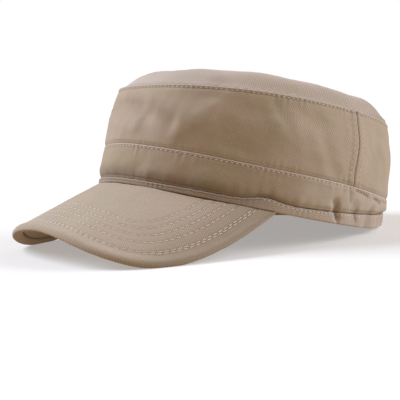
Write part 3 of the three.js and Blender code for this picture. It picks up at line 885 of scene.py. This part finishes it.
# %% [markdown]
# The peak is cut flat, as a crescent, and then bent over an arch, which gives its curve. So its
# outline is drawn on the flat pattern: squared round the front and drawn in to the hem at each
# side. Every point of the pattern is then rolled over a round arch and sloped down from the
# crown's front. Rows of stitching hold the layers together, and between them the cloth stands up
# in soft welts. The rim is a fat roll.
# %% Peak pattern
peak_arch = 92.8
peak_slope = math.radians(32.8)
peak_rise = 2.1
peak_reach = 58
peak_half_width = 87.6
peak_squareness = 2.92
peak_widest_at = -25.4
peak_end_angle = 67.9
peak_trim = 0.985
rim_room = 18
rim_front_share = 0.72


def bent_point(px, py, off):
    """A point of the flat pattern, bent over the arch and off mm above it."""
    turn = px / peak_arch
    drop = peak_arch - (peak_arch + off) * np.cos(turn)
    return np.stack([
        (peak_arch + off) * np.sin(turn),
        -hem_plan["length"] / 2 - py * math.cos(peak_slope) + drop * math.sin(peak_slope),
        peak_rise - py * math.sin(peak_slope) - drop * math.cos(peak_slope),
    ], -1)


def hem_on_pattern(angle):
    """Where the hem lies on the flat pattern."""
    x, y = plan_point(hem_plan, angle)
    turn = np.arcsin(x / peak_arch)
    drop = peak_arch * (1 - np.cos(turn))
    forward = (drop * math.sin(peak_slope) - hem_plan["length"] / 2 - y) / math.cos(peak_slope)
    return peak_arch * turn, forward


def rim_on_pattern(turn):
    """The rim on the flat pattern, for turn from -1 at one end to 1 at the other."""
    side, around = np.sign(turn), np.abs(turn)
    quarter = np.radians(90 * np.minimum(around / rim_front_share, 1))
    power = 2 / peak_squareness
    front_x = peak_half_width * np.sin(quarter) ** power
    forward = np.clip(np.cos(quarter), 0, 1) ** power
    front_y = peak_widest_at + (peak_reach - peak_widest_at) * forward
    end_x, end_y = hem_on_pattern(np.full_like(turn, peak_end_angle))
    back = np.clip((around - rim_front_share) / (1 - rim_front_share), 0, 1)
    side_x = peak_half_width + (end_x - peak_half_width) * back ** 2
    side_y = peak_widest_at + (end_y - peak_widest_at) * back
    on_front = around <= rim_front_share
    return side * np.where(on_front, front_x, side_x), np.where(on_front, front_y, side_y)


rim_samples = np.linspace(-1, 1, 1601)
rim_x, rim_y = rim_on_pattern(rim_samples)
rim_lengths = np.concatenate([[0], np.cumsum(np.hypot(np.diff(rim_x), np.diff(rim_y)))])


def even_turn(u):
    """The rim's turn at an even share u of its length."""
    return np.interp(u * rim_lengths[-1], rim_lengths, rim_samples)


def from_rim(px, py):
    """How far points of the pattern lie inside the rim, in mm."""
    nearest = np.full(len(px), np.inf)
    for x, y in zip(rim_x[::4], rim_y[::4]):
        nearest = np.minimum(nearest, (px - x) ** 2 + (py - y) ** 2)
    return np.sqrt(nearest)


print("rim length, mm:", round(rim_lengths[-1], 1))

# %% [markdown]
# The upper layer wraps the rim and ends under it, where the under layer is set in. The rows of
# its section are kept at a share of the way from the hem to the rim, or some mm back from the
# rim, and off mm above the arch. The stitched rows press it down by a sixth of a millimetre.
# %% Peak layers
stitch_rows = (7.8, 9.0, 15.4, 20.4, 25.4, 30.4)  # mm inside the rim
upper_rows = closed(table("share back inset off quilt steps", [
    (0, 0, 3.9, 1.5, 0, 2),
    (0, 0, 0, 1.5, 1, 26),
    (0.42, 0, 0, 1.5, 1, 28),
    (0.8, 0, 0, 1.5, 1, 16),
    (1, 7.4, 0, 1.45, 1, 5),
    (1, 5.2, 0, 1.75, 0.3, 4),
    (1, 3.2, 0, 1.95, 0, 4),
    (1, 1.4, 0, 1.55, 0, 3),
    (1, 0.4, 0, 0.7, 0, 3),
    (1, 0, 0, -0.3, 0, 3),
    (1, 0.4, 0, -1.25, 0, 3),
    (1, 1.4, 0, -2.0, 0, 3),
    (1, 3.2, 0, -2.4, 0, 4),
    (1, 5.6, 0, -2.25, 0, 2),
    (1, 6.5, 0, -1.7, 0, 2),
    (1, 6.6, 0, 0.1, 0, 2),
    (0.64, 0, 0, 0.2, 0, 8),
    (0, 0, 0, 0.2, 0, 2),
    (0, 0, 3.9, 0.2, 0, 1),
]))
under_rows = closed(table("share back inset off quilt steps", [
    (0, 0, 3.9, -0.1, 0, 2),
    (0, 0, 0.5, -0.1, 0, 8),
    (0.64, 0, 0.5, -0.1, 0, 6),
    (1, 7.0, 0.5, -0.2, 0, 2),
    (1, 6.9, 0.5, -1.2, 0, 2),
    (1, 7.6, 0.5, -1.7, -0.6, 8),
    (0.8, 0, 0.5, -1.5, -1, 28),
    (0.42, 0, 0.5, -1.5, -1, 26),
    (0, 0, 0.5, -1.5, -1, 2),
    (0, 0, 3.9, -1.5, 0, 1),
]))
peak_columns = 420
welt_height = 0.16
welt_edge = 1.2            # mm from a row of stitches to the flat of a welt
face_height = 1.5          # mm from the arch to the upper face
under_the_hem = 0.3        # mm between that face and the hem
shaded_sides = (58, 84)    # mm from the middle of the pattern, where painted shade darkens the cloth


def welts(inside):
    """1 midway between two rows of stitching, 0 in a row, for a distance inside the rim."""
    nearest = np.min([np.abs(inside - row) for row in stitch_rows], axis=0)
    return smoothstep(nearest, 0, welt_edge)


def peak_place(rows, seed):
    """How a layer of the peak is bent into shape."""
    def place(u, v):
        turn = peak_trim * even_turn(u)
        angle = peak_trim * (2 * u - 1) * peak_end_angle
        share, back, inset, off, quilt = section(rows, v, "share back inset off quilt")
        inner_x, inner_y = hem_on_pattern(angle)
        outer_x, outer_y = rim_on_pattern(turn)
        width = np.hypot(outer_x - inner_x, outer_y - inner_y)
        thin = np.minimum(1, width / rim_room)
        share = np.clip(share - back * thin / width, 0, None)
        px, py = inner_x + (outer_x - inner_x) * share, inner_y + (outer_y - inner_y) * share
        inside = from_rim(px, py)
        off = off + quilt * thin * welt_height * (welts(inside) - 1)
        seat = by_angle(hem_heights, seam_step, angle) - under_the_hem
        lift = seat - bent_point(inner_x, inner_y, face_height)[:, 2]
        points = bent_point(px, py, off)
        rise = lift * (1 - share) ** 2 + swell(points, peak_swellings, seed) * thin
        points = points + np.stack([0 * share, 0 * share, rise], -1)
        points = pushed_out(points, angle, -inset)
        # Painted shade on the rim's roll, along the rows of stitching, towards the sides and on the
        # under side.
        rolled = hill(inside, 1.2, 1.6)
        wear = -0.15 * rolled - 0.3 * np.abs(quilt) * (1 - welts(inside)) * thin
        wear = wear - 0.3 * smoothstep(np.abs(px), *shaded_sides)
        wear = wear - 0.3 * smoothstep(-off, -0.4, 1.2)
        return set_down(points), np.stack([px, py], -1), wear
    return place


upper_place = peak_place(upper_rows, 61)
under_place = peak_place(under_rows, 61)
peak_upper = make_cloth("peak_upper_cloth", peak_columns, grid_rows(upper_rows), upper_place)
peak_under = make_cloth("peak_under_cloth", peak_columns, grid_rows(under_rows), under_place)
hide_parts("peak_upper")
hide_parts("peak_under")

# %% [markdown]
# The seams are topstitched with a matching thread. A stitch is a short fat bead of thread whose
# ends dip into the cloth, so each one is a small sphere, stretched along the seam. A row of them
# follows a line on a piece of cloth: the line is found from the same function that bent the
# cloth, so the stitches always lie in their groove. The binding's row stops at each side of the
# peak, as none of it shows over the peak.
# %% Stitching
stitch_rise = 0.12          # of the thread's thickness, from the cloth to the stitch's middle
stitch_half_height = 0.42   # of the thread's thickness


def surface_line(place, u, v, step=0.0008):
    """Points on a piece of cloth and the directions straight out of it."""
    points = place(u, v)[0]
    along = place(u + step, v)[0] - place(u - step, v)[0]
    across = place(u, v + step)[0] - place(u, v - step)[0]
    normals = np.cross(along, across)
    return points, normals / np.linalg.norm(normals, axis=1)[:, None]


def sew(name, lines, stitch_length, pitch, thread):
    """Rows of stitches along lines of points with their normals, all sizes in mm."""
    shape = bmesh.new()
    for points, normals in lines:
        lengths = np.concatenate([[0], np.cumsum(np.linalg.norm(np.diff(points, axis=0), axis=1))])
        starts = np.arange(0.5 * pitch, lengths[-1] - pitch, pitch)
        read = lambda values, at: np.stack(
            [np.interp(at, lengths, values[:, i]) for i in range(3)], -1)
        first, last = read(points, starts), read(points, starts + stitch_length)
        outward = read(normals, starts + stitch_length / 2)
        for a, b, normal in zip(first, last, outward):
            ahead = Vector(b - a).normalized()
            up = Vector(normal)
            up = (up - ahead * up.dot(ahead)).normalized()
            aside = up.cross(ahead)
            turned = Matrix((ahead, aside, up)).transposed().to_4x4()
            middle = Matrix.Translation(Vector((a + b) / 2) * MM + up * stitch_rise * thread * MM)
            half = (stitch_length / 2 * MM, thread / 2 * MM, stitch_half_height * thread * MM, 1)
            size = Matrix.Diagonal(half)
            bmesh.ops.create_uvsphere(
                shape, u_segments=6, v_segments=5, radius=1, matrix=middle @ turned @ size)
    bmesh.ops.recalc_face_normals(shape, faces=shape.faces)
    mesh = bpy.data.meshes.new(name)
    shape.to_mesh(mesh)
    shape.free()
    mesh.shade_smooth()
    piece = bpy.data.objects.new(name, mesh)
    scene.collection.objects.link(piece)
    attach(piece, "root")
    print(name, "faces:", len(mesh.polygons))
    return piece


seam_stitch = {"stitch_length": 2.3, "pitch": 3.0, "thread": 0.55}
peak_stitch = {"stitch_length": 3.7, "pitch": 3.8, "thread": 0.5}
ring = np.linspace(0.0005, 0.9995, 1400)
behind_peak = 0.33   # share of the way round at which the binding's stitches stop, on each side


def row_line(place, rows, number, u=ring):
    """A line along one row of a section's table, facing out of the cloth."""
    points, normals = surface_line(place, u, np.full_like(u, row_place(rows, number)))
    angle = np.degrees(np.arctan2(points[:, 0], -points[:, 1]))
    outward = np.stack([*plan_normal(angle), 0 * u], -1)
    facing = np.sign((normals * outward).sum(1))
    return points, normals * facing[:, None]


def upright_line(place, share_in, columns):
    """A line up a crown panel beside one of its ends."""
    v = np.linspace(row_place(panel_rows, 3), row_place(panel_rows, 9), 60)
    mm_in = strip_stitches / mm_per_degree / (columns * panel_step)
    u = np.full_like(v, abs(share_in - mm_in))
    points, normals = surface_line(place, u, v)
    outward = np.stack([points[:, 0], points[:, 1] - carried_back, 0 * u], -1)
    return points, normals * np.sign((normals * outward).sum(1))[:, None]


panel_stitching = sew("crown_stitching", [
    row_line(side_place, panel_rows, panel_groove),
    row_line(back_place, panel_rows, panel_groove),
    *[upright_line(side_place, end, side_columns) for end in (0, 1)],
    *[upright_line(back_place, end, back_columns) for end in (0, 1)],
], **seam_stitch)
band_stitching = sew("band_stitching", [
    row_line(band_place, band_rows, band_groove),
    row_line(binding_place, binding_rows, binding_groove, ring[ring < behind_peak]),
    row_line(binding_place, binding_rows, binding_groove, ring[ring > 1 - behind_peak]),
], **seam_stitch)

# %% [markdown]
# On the peak each row of stitches keeps its distance from the rim and ends where it meets the
# hem. For each column of the cloth the section is searched for the place at that distance. The
# same rows show on the under side.
# %% Peak stitching
def peak_line(place, rows, from_row, to_row, inside, facing):
    """The line on a peak layer that lies some mm inside the rim."""
    u = np.linspace(0.004, 0.996, 500)
    v_low, v_high = row_place(rows, from_row), row_place(rows, to_row)
    v = np.linspace(v_low, v_high, 90)
    grid_u, grid_v = (g.ravel() for g in np.meshgrid(u, v, indexing="ij"))
    cloth = place(grid_u, grid_v)[1]
    distance = from_rim(cloth[:, 0], cloth[:, 1]).reshape(len(u), len(v))
    found_u, found_v = [], []
    for i, column in enumerate(distance):
        falling = column if column[0] > column[-1] else column[::-1]
        order = v if column[0] > column[-1] else v[::-1]
        if falling[0] > inside > falling[-1]:
            found_u.append(u[i])
            found_v.append(np.interp(-inside, -falling, order))
    points, normals = surface_line(place, np.array(found_u), np.array(found_v))
    return points, normals * np.sign(normals[:, 2] * facing)[:, None]


upper_lines = [peak_line(upper_place, upper_rows, 1, 5, row, 1) for row in stitch_rows]
under_lines = [peak_line(under_place, under_rows, 5, 8, row, -1) for row in stitch_rows[1:]]
peak_stitching = sew("peak_stitching", upper_lines, **peak_stitch)
under_stitching = sew("peak_under_stitching", under_lines, **peak_stitch)

# %% [markdown]
# The cloth is cotton twill: a strong plain weave whose threads step sideways in each row, which
# makes fine slanting ribs. It is piece-dyed khaki and washed, so its colour is a little uneven.
# An attribute paints it paler along folded edges and with painted light in a few places, and
# darker with painted shade in tucks, creases and hollows. The ribs follow the UV map, which is in
# metres of cloth. A real rib is about 0.8 mm; it is drawn at 1.2 mm so that it shows. Fuzz on the
# cotton gives a faint sheen at grazing angles.
# %% Cotton twill
rib_spacing = 1.2 * MM
thread_spacing = 0.9 * MM
slub_size = 1.6 * MM    # thick places in the yarn
patch_size = 34 * MM    # patches that the wash has left in two tones
wave_period = math.tau / 20  # a wave texture's period at scale 1
pale_edge_and_light_khaki, painted_shade_khaki = "#cfc2b4", "#5c4836"  # pale edges and painted light, and painted shade


def cotton_twill(name, rib_turn, tones):
    """Cotton twill, piece-dyed and washed: matte, softly ribbed along rib_turn in degrees."""
    material = bpy.data.materials.new(name)
    material.use_nodes = True
    tree = material.node_tree
    shader = tree.nodes["Principled BSDF"]
    cloth = add(tree, "ShaderNodeUVMap", uv_map="UVMap")
    turned = add(tree, "ShaderNodeMapping", {
        "Vector": cloth.outputs[0], "Rotation": (0, 0, math.radians(rib_turn))})
    ribs = add(tree, "ShaderNodeTexWave", {
        "Vector": turned.outputs[0], "Scale": wave_period / rib_spacing,
        "Distortion": 0.7, "Detail": 2.0, "Detail Scale": 1.3}, bands_direction="X")
    threads = add(tree, "ShaderNodeTexWave", {
        "Vector": cloth.outputs[0], "Scale": wave_period / thread_spacing,
        "Distortion": 0.8, "Detail": 2.0, "Detail Scale": 1.5}, bands_direction="X")
    slubs = add(tree, "ShaderNodeTexNoise", {
        "Vector": cloth.outputs[0], "Scale": 1 / slub_size, "Detail": 3.0, "Roughness": 0.6})
    place = add(tree, "ShaderNodeTexCoord")
    patches = add(tree, "ShaderNodeTexNoise", {
        "Vector": place.outputs["Object"],
        "Scale": 1 / patch_size, "Detail": 4.0, "Roughness": 0.55})
    weave = add(tree, "ShaderNodeMix", {0: 0.35, 2: ribs.outputs["Fac"], 3: threads.outputs["Fac"]})
    rough_weave = add(tree, "ShaderNodeMix", {0: 0.3, 2: weave.outputs[0], 3: slubs.outputs["Fac"]})
    tone = add(tree, "ShaderNodeMapRange", {
        "Value": patches.outputs["Fac"], "From Min": 0.32, "From Max": 0.68})
    base = add(tree, "ShaderNodeMix", {
        0: tone.outputs[0], 6: linear(tones[0]), 7: linear(tones[1])}, data_type="RGBA")
    rib_tone = add(tree, "ShaderNodeMapRange", {
        "Value": rough_weave.outputs[0],
        "From Min": 0.2, "From Max": 0.8, "To Min": 0.8, "To Max": 1.11})
    ribbed = add(tree, "ShaderNodeMix", {
        0: 1.0, 6: base.outputs[2], 7: rib_tone.outputs[0]},
        data_type="RGBA", blend_type="MULTIPLY")
    # The attribute paints the cloth paler above 0, along folded edges and with painted light, and
    # darker below 0 with painted shade.
    wear = add(tree, "ShaderNodeAttribute", attribute_name="wear")
    paler_edges_and_painted_light = add(tree, "ShaderNodeMapRange", {"Value": wear.outputs["Fac"], "To Max": 0.5})
    tucked = add(tree, "ShaderNodeMapRange", {
        "Value": wear.outputs["Fac"], "From Max": -1.0, "To Max": 0.75})
    paler = add(tree, "ShaderNodeMix", {
        0: paler_edges_and_painted_light.outputs[0], 6: ribbed.outputs[2], 7: linear(pale_edge_and_light_khaki)}, data_type="RGBA")
    darker = add(tree, "ShaderNodeMix", {
        0: tucked.outputs[0], 6: paler.outputs[2], 7: linear(painted_shade_khaki)}, data_type="RGBA")
    bump = add(tree, "ShaderNodeBump", {
        "Strength": 0.65, "Distance": 0.18 * MM, "Height": rough_weave.outputs[0]})
    tree.links.new(darker.outputs[2], shader.inputs["Base Color"])
    tree.links.new(bump.outputs[0], shader.inputs["Normal"])
    shader.inputs["Roughness"].default_value = 0.88
    shader.inputs["Specular IOR Level"].default_value = 0.25
    shader.inputs["Sheen Weight"].default_value = 0.22
    shader.inputs["Sheen Roughness"].default_value = 0.45
    shader.inputs["Sheen Tint"].default_value = linear("#f2e9de")
    return material


twills = (
    {"kind": "washed, crown", "rib_turn": 27, "tones": ("#b49f88", "#ab9b7e")},
    {"kind": "washed, top", "rib_turn": -40, "tones": ("#b7a391", "#ad9e86")},
    {"kind": "washed, band", "rib_turn": 24, "tones": ("#b09a83", "#a79679")},
    {"kind": "bias binding", "rib_turn": 60, "tones": ("#b7a28f", "#ae9e87")},
    {"kind": "washed, peak", "rib_turn": 70, "tones": ("#baa68f", "#b3a389")},
    {"kind": "peak underside", "rib_turn": 25, "tones": ("#baa792", "#b3a48c")},
)
crown_twill, top_twill, band_twill, binding_twill, peak_twill, under_twill = [
    cotton_twill("khaki cotton twill, " + twill["kind"], twill["rib_turn"], twill["tones"])
    for twill in twills
]
print("twills:", [twill["kind"] for twill in twills])

# %% [markdown]
# The thread is spun polyester in the same khaki, a little paler and smoother than the cloth, so a
# row of stitches reads as fine light dashes. It is twisted from plies, which a slanting wave along
# the object gives as a faint bump.
# %% Sewing thread
ply_spacing = 0.35 * MM


def sewing_thread(name, tones):
    """Spun polyester thread, twisted: paler and a little glossier than the cotton."""
    material = bpy.data.materials.new(name)
    material.use_nodes = True
    tree = material.node_tree
    shader = tree.nodes["Principled BSDF"]
    place = add(tree, "ShaderNodeTexCoord")
    plies = add(tree, "ShaderNodeTexWave", {
        "Vector": place.outputs["Object"], "Scale": wave_period / ply_spacing},
        bands_direction="DIAGONAL")
    tint = add(tree, "ShaderNodeMix", {
        0: plies.outputs["Fac"], 6: linear(tones[0]), 7: linear(tones[1])}, data_type="RGBA")
    bump = add(tree, "ShaderNodeBump", {
        "Strength": 0.4, "Distance": 0.05 * MM, "Height": plies.outputs["Fac"]})
    tree.links.new(tint.outputs[2], shader.inputs["Base Color"])
    tree.links.new(bump.outputs[0], shader.inputs["Normal"])
    shader.inputs["Roughness"].default_value = 0.6
    shader.inputs["Sheen Weight"].default_value = 0.1
    return material


thread = sewing_thread("khaki polyester thread, twisted", ("#cdbfaa", "#e6dac8"))
print("thread:", thread.name)

# %% [markdown]
# Last, every piece gets its cloth. The box of the finished cap is printed beside the plain one, so
# that the two can be compared.
# %% Finishes and sizes
finishes = (
    (crown_top, top_twill, "crown_twill"),
    (side_panel, crown_twill, "crown_twill"),
    (back_panel, crown_twill, "crown_twill"),
    (band, band_twill, "band_twill"),
    (binding, binding_twill, "binding_twill"),
    (peak_upper, peak_twill, "peak_twill"),
    (peak_under, under_twill, "peak_under_twill"),
)
for piece, material, slot in finishes:
    piece.data.materials.append(material)
for piece in (panel_stitching, band_stitching, peak_stitching, under_stitching):
    piece.data.materials.append(thread)

triangles = sum(len(p.vertices) - 2 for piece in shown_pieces() for p in piece.data.polygons)
print("triangles in all:", triangles)
low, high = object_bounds()
sizes = {"cad": [list(cad_low), list(cad_high)], "visual": [list(low), list(high)]}
for name, box in sizes.items():
    print(name, "box, mm:", [[round(side * 1000, 1) for side in corner] for corner in box])
